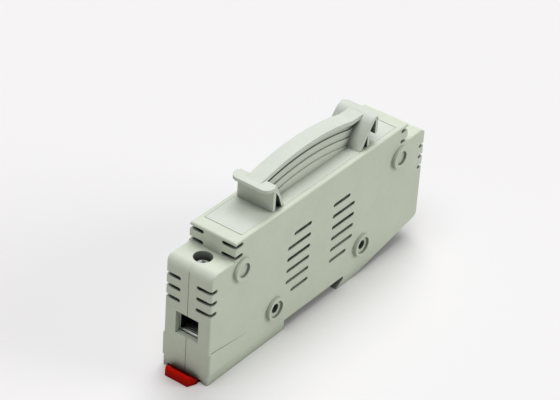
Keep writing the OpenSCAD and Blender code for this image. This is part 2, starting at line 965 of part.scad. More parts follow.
module cage_front() {
    at_end(-1)
        cage();
}

module cage_rear() {
    at_end(1)
        cage();
}

// Terminal screw with a combined cross and straight recess.
module terminal_screw() {
    top = head_z + head_h;
    color("lightgray")
        translate([screw_u, 0, 0])
            difference() {
                union() {
                    translate([0, 0, bus_top + fit])
                        cylinder(d = thread_d, h = head_z - bus_top);
                    translate([0, 0, head_z])
                        cylinder(d = head_d, h = head_h);
                }
                box([-half_w, -recess_w / 2, top - recess_h], [half_w, recess_w / 2, top + over]);
                box([-star_w / 2, -star_l / 2, top - star_h], [star_w / 2, star_l / 2, top + over]);
                box([-star_l / 2, -star_w / 2, top - star_h], [star_l / 2, star_w / 2, top + over]);
            }
}

module screw_front() {
    at_end(-1)
        terminal_screw();
}

module screw_rear() {
    at_end(1)
        terminal_screw();
}

// Red clip that locks the holder on the rail: pull tab, guided plate with spring arms, and nose.
module rail_clip() {
    nose_x = -rail_h + nose_out;
    tab_x = x_front - tab_l;
    root_x = x_front + tab_root;
    neck_x = -rail_h - clip_neck;
    color("red")
        difference() {
            union() {
                box([root_x - fit, -clip_w / 2, -foot_h], [-rail_h - clip_back, clip_w / 2, clip_z]);
                box([x_front + end_t + clip_travel + gap, -in_w - groove_w + gap, clip_z - fit],
                    [neck_x, in_w + groove_w - gap, layer_z]);
                slab(-clip_w / 2, clip_w / 2)
                    polygon([
                        [neck_x - fit, -foot_h],
                        [neck_x - fit, layer_z],
                        [nose_x - 0.9, layer_z],
                        [nose_x, layer_z - 1],
                        [nose_x - 1.2, -foot_h],
                    ]);
                intersection() {
                    slab(-half_w, half_w)
                        polygon([
                            [tab_x, -foot_h],
                            [tab_x, tab_h - foot_h - 0.5],
                            [tab_x + 0.5, tab_h - foot_h],
                            [tab_x + 1.6, tab_h - foot_h],
                            [x_front - gap, clip_z],
                            [root_x, clip_z],
                            [root_x, -foot_h],
                        ]);
                    translate([0, 0, -foot_h - over])
                        linear_extrude(foot_h + over)
                            polygon([
                                [tab_x, -tab_w / 2],
                                [tab_x, tab_w / 2],
                                [x_front - tab_flare, root_w / 2],
                                [root_x, root_w / 2],
                                [root_x, -root_w / 2],
                                [x_front - tab_flare, -root_w / 2],
                            ]);
                }
            }
            translate([0, 0, over - foot_h])
                linear_extrude(foot_h)
                    pad(x_front - 2.9, x_front - 1.7, -dish_y, dish_y, 0.5);
            for (s = [-1, 1])
                mirror([0, s < 0 ? 1 : 0, 0]) {
                    box([arm_x0, arm_y, -foot_h - over], [arm_x1, arm_y + arm_gap, over]);
                    box([arm_x0, arm_y, -foot_h - over], [arm_x0 + arm_gap, half_w, over]);
                }
        }
}

housing_near();
housing_far();
carrier_cap();
carrier_frame();
fuse_tube();
fuse_cap_front();
fuse_cap_rear();
fuse_element();
contact_front();
contact_rear();
jaw_spring_front();
jaw_spring_rear();
busbar_front();
busbar_rear();
contact_rivets();
cage_front();
cage_rear();
screw_front();
screw_rear();
rail_clip();
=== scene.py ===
"""Dresses a slim rail-mounted fuse holder and stands it on a plain pale floor.

It gives the moulded, metal and ceramic parts their finishes, and makes the threaded terminal screws, the
ridges of the wire cages and the crimped caps of the fuse link.

All sizes are in metres in the holder's own frame: X along it, Y across it, Z up from the rail seat."""

import json
import math

import bpy
import numpy as np
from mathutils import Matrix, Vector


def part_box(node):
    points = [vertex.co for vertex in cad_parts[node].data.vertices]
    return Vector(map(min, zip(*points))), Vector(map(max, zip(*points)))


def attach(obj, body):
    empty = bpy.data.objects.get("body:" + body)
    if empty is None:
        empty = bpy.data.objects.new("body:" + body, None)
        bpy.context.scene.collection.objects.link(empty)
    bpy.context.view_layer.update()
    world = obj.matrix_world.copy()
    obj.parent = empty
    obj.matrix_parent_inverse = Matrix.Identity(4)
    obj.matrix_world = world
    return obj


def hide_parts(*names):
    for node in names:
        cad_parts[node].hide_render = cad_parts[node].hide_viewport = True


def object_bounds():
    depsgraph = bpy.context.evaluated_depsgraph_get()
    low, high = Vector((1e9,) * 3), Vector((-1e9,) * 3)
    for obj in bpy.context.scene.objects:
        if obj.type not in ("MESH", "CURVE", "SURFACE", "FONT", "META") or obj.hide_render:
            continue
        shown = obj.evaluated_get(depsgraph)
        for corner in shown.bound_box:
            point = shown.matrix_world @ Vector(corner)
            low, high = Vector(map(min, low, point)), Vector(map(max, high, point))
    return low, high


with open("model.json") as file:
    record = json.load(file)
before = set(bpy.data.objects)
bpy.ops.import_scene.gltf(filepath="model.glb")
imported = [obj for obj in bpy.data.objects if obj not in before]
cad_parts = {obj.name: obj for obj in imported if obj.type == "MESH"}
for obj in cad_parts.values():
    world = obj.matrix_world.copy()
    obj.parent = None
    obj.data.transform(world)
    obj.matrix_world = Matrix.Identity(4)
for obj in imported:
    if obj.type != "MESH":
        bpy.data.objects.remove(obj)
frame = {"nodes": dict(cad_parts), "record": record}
cad_low, cad_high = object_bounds()
nodes = frame["nodes"]

bl_info = {
    "name": "Rail fuse holder",
    "version": (1, 0, 0),
    "blender": (4, 5, 0),
    "location": "3D View > Sidebar > Fuse holder",
    "description": "Finishes and small parts of a rail-mounted fuse holder",
    "category": "Object",
}

MM = 0.001
TURN = 2 * math.pi
SENSOR = 36
SHARP_ANGLE = math.radians(32)
ENDS = ("front", "rear")

WHITE = (1.0, 1.0, 1.0)
DUST_COLOUR = (0.62, 0.61, 0.58, 1)
# Pale edge colour of plated metal: bare metal, and a painted highlight.
BARE_METAL_AND_HIGHLIGHT = (0.95, 0.98, 0.90, 1)
BARE_COPPER = (0.62, 0.40, 0.26)
SPECK_COLOUR = (0.34, 0.29, 0.22, 1)

# Range that most values of a noise lie in.
NOISE_LOW, NOISE_HIGH = 0.3, 0.7

# Scratches per metre along X, Y and Z.
DRAWN_ALONG_X = (600.0, 9000.0, 9000.0)
DRAWN_ALONG_Z = (9000.0, 9000.0, 700.0)
TURNED_ABOUT_X = (9000.0, 500.0, 500.0)
BRUSHED_EVENLY = (2500.0, 2500.0, 2500.0)

# Fixed sizes of the terminal screws, whose other sizes are settings.
THREAD_RADIUS = 2.5 * MM
THREAD_FROM_TIP = 0.4 * MM
THREAD_FROM_HEAD = 0.9 * MM
TIP_LENGTH = 1.2 * MM
TIP_TAPER = 0.35 * MM
NECK_DEPTH = 0.3 * MM
NECK_LENGTH = 0.8 * MM
HEAD_HEIGHT = 4.2 * MM
HEAD_BEVEL = 0.95 * MM
HEAD_CORNER = 0.15 * MM
HEAD_DOME = 0.25 * MM
SLOT_DEPTH = 1.2 * MM
CROSS_DEPTH = 2.0 * MM
CROSS_REACH = 1.9 * MM
CROSS_FADE = 0.5 * MM
RECESS_SOFT = 0.13 * MM

# Thickness of a wire cage's side walls and floor, from the outside of its box.
CAGE_WALL = 1.5 * MM
CAGE_FLOOR = 1.7 * MM

# Caps of the fuse link. The grooves' places count from a cap's open end.
CAP_WALL = 0.75 * MM
CAP_PLAY = 0.05 * MM
CAP_LIP = 0.1 * MM
LIP_DROP = 0.03 * MM
GROOVES = (3.2 * MM, 5.4 * MM)
GROOVE_WIDTH = 0.35 * MM

FLOOR_REACH = 4.0
CAMERA_PLACE = (-0.61923, -0.42992, 0.55895)
CAMERA_TURN = (55.29, -3.2749, -52.4641)


def colour(name, default, words):
    """One colour setting, as the linear values that a shader takes."""
    return bpy.props.FloatVectorProperty(
        name=name, description=words, default=default, subtype="COLOR", size=3, min=0, max=1)


def length(name, default, words):
    """One length setting in metres."""
    return bpy.props.FloatProperty(
        name=name, description=words, default=default, unit="LENGTH", precision=5, min=0)


def factor(name, default, words, most=1):
    """One plain number."""
    return bpy.props.FloatProperty(
        name=name, description=words, default=default, min=0, max=most)


class MouldingSettings(bpy.types.PropertyGroup):
    """Colours and surface of the moulded parts."""

    housing: colour("Housing", (0.700, 0.762, 0.622), "Colour of the two housing halves")
    carrier: colour("Carrier", (0.695, 0.745, 0.645), "Colour of the carrier and its handle")
    clip: colour("Clip", (0.560, 0.005, 0.0005), "Colour of the rail clip")
    grain: length("Grain", 0.00022, "Size of the spark-eroded grain")
    grain_depth: length("Grain depth", 0.000012, "Depth of the spark-eroded grain")
    edge: length("Edge radius", 0.00028, "Radius to which moulded edges look rounded")
    matt: factor("Roughness", 0.46, "Roughness of the moulded surface")
    hollow: length("Hollow reach", 0.007, "Distance within which walls shade a hollow")
    depth: factor("Hollow shade", 0.04, "Share of colour left in a deep hollow")


class MetalSettings(bpy.types.PropertyGroup):
    """Colours of the metal parts."""

    zinc: colour("Zinc", (0.800, 0.825, 0.780), "Zinc plating of the wire cages")
    bright: colour("Bright zinc", (0.920, 0.960, 0.960), "Blued zinc plating of the screws")
    tinned: colour("Tinned copper", (0.640, 0.520, 0.400), "Tinned copper of busbars and contacts")
    spring: colour("Spring steel", (0.360, 0.370, 0.385), "Spring clips and rivets")
    nickel: colour("Nickel", (0.600, 0.590, 0.560), "Plating of the fuse link's caps")
    silver: colour("Silver", (0.760, 0.750, 0.720), "The fuse link's melting strip")


class ScrewSettings(bpy.types.PropertyGroup):
    """Sizes of the terminal screws."""

    pitch: length("Pitch", 0.0008, "Distance between two turns of the thread")
    thread: length("Thread depth", 0.00038, "Depth of the thread's groove")
    slot: length("Slot", 0.001, "Width of the straight slot")
    cross: length("Cross", 0.0012, "Width of the arms of the cross recess")
    turn: bpy.props.FloatProperty(
        name="Turn", description="Angle at which the slot stands at rest",
        default=math.radians(24), subtype="ANGLE")


class CageSettings(bpy.types.PropertyGroup):
    """Sizes of the ridges that grip the wire."""

    pitch: length("Ridge pitch", 0.001, "Distance between two ridges")
    rise: length("Ridge height", 0.00028, "Height of a ridge")


class LinkSettings(bpy.types.PropertyGroup):
    """Sizes and colour of the fuse link."""

    ceramic: colour("Ceramic", (0.800, 0.780, 0.720), "Colour of the tube")
    crimp: length("Crimp", 0.00014, "Depth of the two rolled grooves in a cap")
    corner: length("Corner", 0.0007, "Radius of a cap's outer edge")


class StageSettings(bpy.types.PropertyGroup):
    """Floor, lamps and camera."""

    floor: colour("Floor", (0.915, 0.912, 0.895), "Colour of the floor as the camera sees it")
    bounce: colour("Bounce", (0.500, 0.505, 0.475), "Colour with which the floor lights the holder")
    tint: colour("Lamp tint", (0.972, 0.955, 1.0), "Colour of the two lamps that stand high")
    sky: factor("Sky", 0.25, "Strength of the even light from all round", 3)
    key: factor("Key lamp", 1.33, "Strength of the large lamp behind the hook end", 10)
    side: factor("Side lamp", 0.90, "Strength of the large lamp at the long side", 10)
    end: factor("End lamp", 0.96, "Strength of the large lamp above the clip end", 10)
    lens: bpy.props.FloatProperty(
        name="Lens", description="Focal length on a 36 mm sensor", default=165.5, min=20)


GROUPS = (
    ("fuse_mouldings", MouldingSettings),
    ("fuse_metals", MetalSettings),
    ("fuse_screws", ScrewSettings),
    ("fuse_cages", CageSettings),
    ("fuse_link", LinkSettings),
    ("fuse_stage", StageSettings),
)


def closed_mesh(name, points, faces):
    """Makes a mesh object, its faces outward, from an array of corners and a list of face index arrays.

    The volume is the sum over triangles of a . (b x c) / 6. Only its sign counts here, so the 6 is left
    out: where it is negative, every face is turned round."""
    volume = 0.0
    for f in faces:
        a, b, c = points[f[:, 0]], points[f[:, 1]], points[f[:, 2]]
        volume += np.einsum("ij,ij->i", a, np.cross(b, c)).sum()
        if f.shape[1] == 4:
            d = points[f[:, 3]]
            volume += np.einsum("ij,ij->i", a, np.cross(c, d)).sum()
    if volume < 0:
        faces = [f[:, ::-1] for f in faces]
    mesh = bpy.data.meshes.new(name)
    mesh.from_pydata(points.tolist(), [], [row for f in faces for row in f.tolist()])
    mesh.validate()
    mesh.update()
    piece = bpy.data.objects.new(name, mesh)
    bpy.context.scene.collection.objects.link(piece)
    return piece


def shell_of_rings(name, rings):
    """Closed skin over an array of rings (row, column, xyz): rows follow a profile, columns go round.

    The first and last row shrink to one point each, and every column joins the next, the last one the
    first."""
    rows, columns = rings.shape[:2]
    body = rings[1:-1].reshape(-1, 3)
    points = np.vstack([rings[0, :1], body, rings[-1, :1]])
    j = np.arange(columns)
    k = (j + 1) % columns
    i = np.arange(rows - 3)[:, None] * columns + 1
    quads = np.stack([i + j, i + k, i + k + columns, i + j + columns], axis=-1).reshape(-1, 4)
    last = len(points) - 1
    top = last - columns
    ends = np.vstack([
        np.stack([np.zeros_like(j), k + 1, j + 1], axis=-1),
        np.stack([np.full_like(j, last), top + j, top + k], axis=-1),
    ])
    return closed_mesh(name, points, [quads, ends])


def ridged_plate(name, x, y, top, bottom):
    """Closed plate over a grid of x and y: upper face at the array top, lower face flat at bottom."""
    gx, gy = np.meshgrid(x, y, indexing="ij")
    upper = np.stack([gx, gy, top], axis=-1).reshape(-1, 3)
    lower = np.stack([gx, gy, np.full_like(gx, bottom)], axis=-1).reshape(-1, 3)
    m, n = gx.shape
    at = np.arange(m * n).reshape(m, n)
    up = np.stack([at[:-1, :-1], at[1:, :-1], at[1:, 1:], at[:-1, 1:]], axis=-1).reshape(-1, 4)
    down = up[:, ::-1] + m * n
    rim = np.concatenate([at[:-1, 0], at[-1, :-1], at[:0:-1, -1], at[0, :0:-1]])
    after = np.roll(rim, -1)
    walls = np.stack([after, rim, rim + m * n, after + m * n], axis=-1)
    return closed_mesh(name, np.vstack([upper, lower]), [up, down, walls])


def arc(cx, cy, r, start, end, n):
    """Points on a circle's arc: centre plus radius times (cos, sin) of evenly spaced degrees."""
    t = np.radians(np.linspace(start, end, n))
    return np.stack([cx + r * np.cos(t), cy + r * np.sin(t)], axis=-1)


def smooth_step(edge0, edge1, x):
    """0 below edge0, 1 above edge1, and t * t * (3 - 2 t) between them."""
    t = np.clip((x - edge0) / (edge1 - edge0), 0, 1)
    return t * t * (3 - 2 * t)


class Wires:
    """Adds nodes to one node tree and joins them."""

    def __init__(self, tree):
        self.tree = tree

    def add(self, kind, inputs=None, **settings):
        """One node; inputs maps a socket's name or number to a value or to another node's output."""
        node = self.tree.nodes.new(kind)
        for key, value in settings.items():
            setattr(node, key, value)
        for key, value in (inputs or {}).items():
            if isinstance(value, bpy.types.NodeSocket):
                self.tree.links.new(value, node.inputs[key])
            else:
                node.inputs[key].default_value = value
        return node

    def use(self, group, **inputs):
        """One copy of an effect's node group, and its outputs."""
        return self.add("ShaderNodeGroup", inputs, node_tree=group).outputs

    def maths(self, operation, *values):
        """One number worked out from others."""
        return self.add("ShaderNodeMath", dict(enumerate(values)), operation=operation).outputs[0]

    def blend(self, share, a, b):
        """Two colours mixed by a share."""
        return self.add("ShaderNodeMix", {0: share, 6: a, 7: b}, data_type="RGBA").outputs[2]

    def scaled(self, source, share):
        """A colour times a number."""
        node = self.add("ShaderNodeVectorMath", {0: source, "Scale": share}, operation="SCALE")
        return node.outputs[0]

    def span(self, value, low, high, to_low, to_high):
        """A number carried from one range to another and kept inside it."""
        node = self.add(
            "ShaderNodeMapRange", {0: value, 1: low, 2: high, 3: to_low, 4: to_high}, clamp=True)
        return node.outputs[0]

    def rough(self, gloss, least, most):
        """Roughness that goes from least to most with a noise."""
        return self.span(gloss, NOISE_LOW, NOISE_HIGH, least, most)

    def seen_rays(self):
        """1 for what the camera sees itself, in gloss or through glass, and 0 for other light."""
        path = self.add("ShaderNodeLightPath").outputs
        return self.maths("MAXIMUM", path["Is Camera Ray"],
                          self.maths("MAXIMUM", path["Is Glossy Ray"], path["Is Transmission Ray"]))


def effect(name, inputs, outputs):
    """A new shader node group with named sockets: (group, wires, its inputs, its outputs)."""
    tree = bpy.data.node_groups.new(name, "ShaderNodeTree")
    for label, kind, default in inputs:
        socket = tree.interface.new_socket(label, in_out="INPUT", socket_type=kind)
        if default is not None:
            socket.default_value = default
    for label, kind in outputs:
        tree.interface.new_socket(label, in_out="OUTPUT", socket_type=kind)
    wires = Wires(tree)
    return tree, wires, wires.add("NodeGroupInput").outputs, wires.add("NodeGroupOutput").inputs


def grain_effect():
    """Spark-eroded grain: fine noise and a cell pattern added as a height, slower noise for gloss."""
    tree, w, i, o = effect(
        "Spark-eroded grain",
        [("Vector", "NodeSocketVector", None), ("Scale", "NodeSocketFloat", 4500.0)],
        [("Height", "NodeSocketFloat"), ("Gloss", "NodeSocketFloat")])
    cell_share, slower = 0.5, 0.035
    fine = w.add("ShaderNodeTexNoise", {
        "Vector": i["Vector"], "Scale": i["Scale"], "Detail": 3.0, "Roughness": 0.6})
    cells = w.add("ShaderNodeTexVoronoi", {
        "Vector": i["Vector"], "Scale": i["Scale"], "Randomness": 1.0})
    slow = w.add("ShaderNodeTexNoise", {
        "Vector": i["Vector"], "Scale": w.maths("MULTIPLY", i["Scale"], slower), "Detail": 4.0})
    height = w.maths("ADD", fine.outputs[0], w.maths("MULTIPLY", cells.outputs[0], cell_share))
    w.tree.links.new(height, o["Height"])
    w.tree.links.new(slow.outputs[0], o["Gloss"])
    return tree


def edge_effect():
    """Rounded edges: the bevelled normal, and a mask that grows as it departs from the flat one.

    The mask goes by the cosine between the two: none at 8 degrees, full at 37."""
    tree, w, i, o = effect(
        "Rounded edge",
        [("Radius", "NodeSocketFloat", 0.0003)],
        [("Normal", "NodeSocketVector"), ("Edge", "NodeSocketFloat")])
    none_at, full_at = 0.99, 0.8
    soft = w.add("ShaderNodeBevel", {"Radius": i["Radius"]}, samples=6)
    flat = w.add("ShaderNodeNewGeometry")
    dot = w.add("ShaderNodeVectorMath", {0: soft.outputs[0], 1: flat.outputs["True Normal"]},
                operation="DOT_PRODUCT")
    w.tree.links.new(soft.outputs[0], o["Normal"])
    w.tree.links.new(w.span(dot.outputs["Value"], none_at, full_at, 0.0, 1.0), o["Edge"])
    return tree


def drift_effect():
    """Slow changes of tone: a colour made lighter or darker, up to about a share, by two noises."""
    tree, w, i, o = effect(
        "Tone drift",
        [("Vector", "NodeSocketVector", None), ("Color", "NodeSocketColor", (0.8, 0.8, 0.8, 1)),
         ("Share", "NodeSocketFloat", 0.04), ("Scale", "NodeSocketFloat", 60.0)],
        [("Color", "NodeSocketColor")])
    closer, wide_part, close_part, gain = 9.0, 0.7, 0.3, 4.0
    wide = w.add("ShaderNodeTexNoise", {"Vector": i["Vector"], "Scale": i["Scale"], "Detail": 3.0})
    close = w.add("ShaderNodeTexNoise", {
        "Vector": i["Vector"], "Scale": w.maths("MULTIPLY", i["Scale"], closer), "Detail": 2.0})
    mean = w.maths("ADD", w.maths("MULTIPLY", wide.outputs[0], wide_part),
                   w.maths("MULTIPLY", close.outputs[0], close_part))
    swing = w.maths("MULTIPLY", w.maths("SUBTRACT", mean, 0.5), w.maths("MULTIPLY", i["Share"], gain))
    w.tree.links.new(w.scaled(i["Color"], w.maths("ADD", 1.0, swing)), o["Color"])
    return tree


def dust_effect():
    """Faint dust: a mask that is strongest on faces that look up and where a fine noise is high."""
    tree, w, i, o = effect(
        "Faint dust",
        [("Vector", "NodeSocketVector", None), ("Amount", "NodeSocketFloat", 0.2)],
        [("Dust", "NodeSocketFloat")])
    steep, level = 0.2, 1.0
    clean, full = 0.5, 0.75
    up = w.add("ShaderNodeSeparateXYZ", {0: w.add("ShaderNodeNewGeometry").outputs["Normal"]})
    speck = w.add("ShaderNodeTexNoise", {
        "Vector": i["Vector"], "Scale": 700.0, "Detail": 5.0, "Roughness": 0.7})
    mask = w.maths("MULTIPLY", w.span(up.outputs["Z"], steep, level, 0.0, 1.0),
                   w.span(speck.outputs[0], clean, full, 0.0, 1.0))
    w.tree.links.new(w.maths("MULTIPLY", mask, i["Amount"]), o["Dust"])
    return tree


def hollow_effect():
    """Shade in hollows: 1 in the open, and between near walls the square of how open it is there."""
    tree, w, i, o = effect(
        "Hollow shade",
        [("Reach", "NodeSocketFloat", 0.005), ("Least", "NodeSocketFloat", 0.15)],
        [("Open", "NodeSocketFloat")])
    closed_at, open_at = 0.08, 0.64
    near = w.add("ShaderNodeAmbientOcclusion", {"Distance": i["Reach"]}, samples=8, only_local=False)
    open_part = w.span(near.outputs["AO"], closed_at, open_at, 0.0, 1.0)
    share = w.maths("MULTIPLY", open_part, open_part)
    rest = w.maths("MULTIPLY", share, w.maths("SUBTRACT", 1.0, i["Least"]))
    w.tree.links.new(w.maths("ADD", i["Least"], rest), o["Open"])
    return tree


def rolled_effect():
    """Rolled or turned metal: noise drawn out along its axes as a height, and spots for its gloss."""
    tree, w, i, o = effect(
        "Rolled metal",
        [("Vector", "NodeSocketVector", None), ("Stretch", "NodeSocketVector", DRAWN_ALONG_X)],
        [("Height", "NodeSocketFloat"), ("Gloss", "NodeSocketFloat")])
    drawn = w.add("ShaderNodeVectorMath", {0: i["Vector"], 1: i["Stretch"]}, operation="MULTIPLY")
    lines = w.add("ShaderNodeTexNoise", {"Vector": drawn.outputs[0], "Scale": 1.0, "Detail": 2.0})
    spots = w.add("ShaderNodeTexNoise", {
        "Vector": i["Vector"], "Scale": 900.0, "Detail": 4.0, "Roughness": 0.65})
    w.tree.links.new(lines.outputs[0], o["Height"])
    w.tree.links.new(spots.outputs[0], o["Gloss"])
    return tree


def start_material(name):
    """An empty node material: (material, wires, object coordinates, Principled shader)."""
    material = bpy.data.materials.new(name)
    material.use_nodes = True
    material.node_tree.nodes.clear()
    w = Wires(material.node_tree)
    shader = w.add("ShaderNodeBsdfPrincipled")
    w.add("ShaderNodeOutputMaterial", {"Surface": shader.outputs[0]})
    place = w.add("ShaderNodeTexCoord").outputs["Object"]
    return material, w, place, shader


def join(w, shader, **sources):
    """Joins outputs to the shader's inputs, whose names are written with _ for a space."""
    for key, source in sources.items():
        w.tree.links.new(source, shader.inputs[key.replace("_", " ")])


def moulded(name, base, effects, settings, share=0.05, edge_wear_and_highlight=0.25, dusty=0.16, shine=0.3, reach=1.35):
    """Moulded plastic: grain in height and gloss, slow tone drift, paler edges that are partly scuffed
    and partly a painted highlight, faint dust, and painted shade in hollows.
    """
    material, w, place, shader = start_material(name)
    matt = settings.matt
    grain = w.use(effects["grain"], Vector=place, Scale=1 / settings.grain)
    edge = w.use(effects["edge"], Radius=settings.edge)
    drift = w.use(effects["drift"], Vector=place, Color=(*base, 1), Share=share)
    dust = w.use(effects["dust"], Vector=place, Amount=dusty)
    hollow = w.use(effects["hollow"], Reach=settings.hollow * reach, Least=settings.depth)
    # Edges turn paler, partly as scuffing and partly as a painted highlight.
    paler, lift = 1.25, 0.03
    pale = tuple(min(1.0, c * paler + lift) for c in base)
    worn_and_highlit = w.blend(w.maths("MULTIPLY", edge["Edge"], edge_wear_and_highlight), drift["Color"], (*pale, 1))
    shown = w.blend(dust["Dust"], worn_and_highlit, DUST_COLOUR)
    bump = w.add("ShaderNodeBump", {
        "Height": grain["Height"], "Strength": 0.6, "Distance": settings.grain_depth,
        "Normal": edge["Normal"]})
    join(w, shader, Base_Color=w.scaled(shown, hollow["Open"]), Normal=bump.outputs[0],
         Roughness=w.rough(grain["Gloss"], matt - 0.06, matt + 0.08))
    shader.inputs["IOR"].default_value = 1.5
    shader.inputs["Specular IOR Level"].default_value = shine
    return material


def plated(name, base, effects, rough=0.3, stretch=DRAWN_ALONG_X, tint=None,
           corner=0.12 * MM, deep=0.08, bare_and_highlit_edge=0.1, near=12 * MM):
    """Plated or rolled metal: drawn-out scratches, spotty gloss, duller spots, and edges turned pale,
    partly as bare metal and partly as a painted highlight.

    In a deep hollow the share deep of the colour is left, as painted shade. Walls within the distance
    near shade it. The edge share paints edges pale, partly as bare metal and partly as a painted
    highlight."""
    material, w, place, shader = start_material(name)
    rolled = w.use(effects["rolled"], Vector=place, Stretch=stretch)
    edge = w.use(effects["edge"], Radius=corner)
    drift = w.use(effects["drift"], Vector=place, Color=(*base, 1), Share=0.06, Scale=220.0)
    hollow = w.use(effects["hollow"], Reach=near, Least=deep)
    duller, first_spots, most = 0.72, 0.52, 0.5
    dull = tint or tuple(c * duller for c in base)
    spots = w.span(rolled["Gloss"], first_spots, NOISE_HIGH, 0.0, most)
    shown = w.scaled(w.blend(spots, drift["Color"], (*dull, 1)), hollow["Open"])
    bump = w.add("ShaderNodeBump", {
        "Height": rolled["Height"], "Strength": 0.35, "Distance": 0.008 * MM, "Normal": edge["Normal"]})
    # Edges turn pale: bare metal, and a painted highlight.
    join(w, shader, Normal=bump.outputs[0],
         Base_Color=w.blend(w.maths("MULTIPLY", edge["Edge"], bare_and_highlit_edge), shown, BARE_METAL_AND_HIGHLIGHT),
         Roughness=w.rough(rolled["Gloss"], rough - 0.08, rough + 0.12))
    shader.inputs["Metallic"].default_value = 1.0
    return material


def ceramic(name, base, effects, settings):
    """Bare fired ceramic: chalky grain, a thin speckle and a little glaze."""
    material, w, place, shader = start_material(name)
    grain = w.use(effects["grain"], Vector=place, Scale=7000.0)
    drift = w.use(effects["drift"], Vector=place, Color=(*base, 1))
    speck = w.add("ShaderNodeTexVoronoi", {"Vector": place, "Scale": 1500.0})
    rim, core, most = 0.10, 0.04, 0.35
    specks = w.span(speck.outputs[0], rim, core, 0.0, most)
    bump = w.add("ShaderNodeBump", {
        "Height": grain["Height"], "Strength": 0.4, "Distance": settings.grain_depth})
    join(w, shader, Base_Color=w.blend(specks, drift["Color"], SPECK_COLOUR), Normal=bump.outputs[0],
         Roughness=w.rough(grain["Gloss"], 0.44, 0.6))
    return material


def floor_material(settings):
    """Pale matt floor: the camera sees it in the pale colour, and other light meets a darker one."""
    material, w, place, shader = start_material("studio_floor")
    join(w, shader, Base_Color=w.blend(w.seen_rays(), (*settings.bounce, 1), (*settings.floor, 1)))
    shader.inputs["Roughness"].default_value = 0.9
    shader.inputs["Specular IOR Level"].default_value = 0.0
    return material


class FUSE_OT_finishes(bpy.types.Operator):
    """Gives every part of the holder its finish"""

    bl_idname = "fuse.finishes"
    bl_label = "Finishes"

    def execute(self, context):
        scene = context.scene
        m, metal, link = scene.fuse_mouldings, scene.fuse_metals, scene.fuse_link
        effects = {"grain": grain_effect(), "edge": edge_effect(), "drift": drift_effect(),
                   "dust": dust_effect(), "hollow": hollow_effect(), "rolled": rolled_effect()}
        made = {
            "housing": moulded("housing_moulding", m.housing, effects, m),
            "carrier": moulded("carrier_moulding", m.carrier, effects, m),
            "clip": moulded("clip_moulding", m.clip, effects, m,
                            share=0.08, edge_wear_and_highlight=0.02, dusty=0.0, shine=0.05, reach=1.0),
            # The cage's edges carry a strong painted highlight.
            "plated_steel": plated("zinc_plate", metal.zinc, effects, rough=0.36,
                                   corner=0.4 * MM, deep=0.02, bare_and_highlit_edge=0.9, near=20 * MM),
            "contact": plated("tinned_copper", metal.tinned, effects, rough=0.34, tint=BARE_COPPER),
            "spring_steel": plated("spring_steel", metal.spring, effects, rough=0.27,
                                   stretch=DRAWN_ALONG_Z),
            "fuse_cap": plated("nickel_plate", metal.nickel, effects, rough=0.22,
                               stretch=TURNED_ABOUT_X),
            "fuse_strip": plated("silver_strip", metal.silver, effects),
            "fuse_body": ceramic("fired_ceramic", link.ceramic, effects, m),
        }
        # The screws' edges carry a painted highlight.
        plated("bright_zinc", metal.bright, effects, rough=0.5, stretch=BRUSHED_EVENLY,
               deep=0.02, bare_and_highlit_edge=0.6, near=1.5 * MM)
        for row in frame["record"]["subparts"]:
            part = nodes[row["node"]]
            material = made[row["material_slot"]]
            if part.data.materials:
                for k in range(len(part.data.materials)):
                    part.data.materials[k] = material
            else:
                part.data.materials.append(material)
        return {"FINISHED"}


def dressed(piece, body, finish, replaced=None):
    """Puts a piece on its body, with its finish and slot, in place of a CAD part where one is named."""
    piece.data.materials.append(bpy.data.materials[finish])
    for polygon in piece.data.polygons:
        polygon.use_smooth = True
    piece.data.set_sharp_from_angle(angle=SHARP_ANGLE)
    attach(piece, body)
    if replaced:
        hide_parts(replaced)
    return piece


def level_rings(angle, profile):
    """Level rings round the Z axis, one for each (radius, height) of a profile."""
    return [np.stack([r * np.cos(angle), r * np.sin(angle), np.full(len(angle), h)], axis=-1)
            for r, h in profile]


